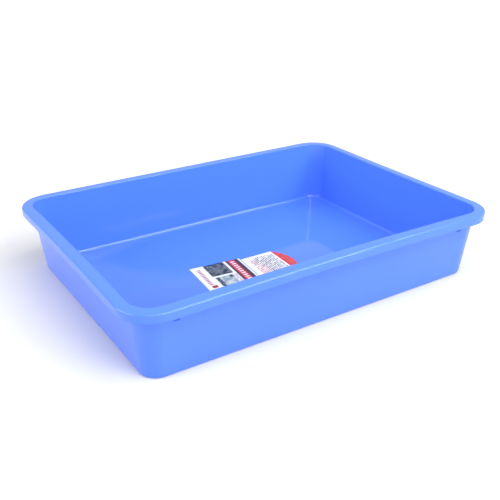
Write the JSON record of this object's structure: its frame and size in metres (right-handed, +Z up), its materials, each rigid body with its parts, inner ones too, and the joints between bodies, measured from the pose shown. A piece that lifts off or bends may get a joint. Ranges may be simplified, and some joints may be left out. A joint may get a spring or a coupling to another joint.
{
  "type": "cat litter tray",
  "caption": "Open rectangular cat litter tray in glossy plastic, with drafted walls, rounded corners, a turned-down rim and printed labels on its floor.",
  "frame": {"origin": "middle of the underside", "axes": "+X along the long side, +Y across the tray, +Z up out of the open top"},
  "size_m": [0.44, 0.3216, 0.0789],
  "materials": {
    "tray_plastic": "moulded polypropylene, glossy",
    "picture_label_paper": "coated label paper, printed",
    "care_label_paper": "coated label paper, printed"
  },
  "bodies": {
    "root": {"litter_tray": "tray_plastic", "picture_label": "picture_label_paper", "care_label": "care_label_paper"}
  },
  "joints": []
}
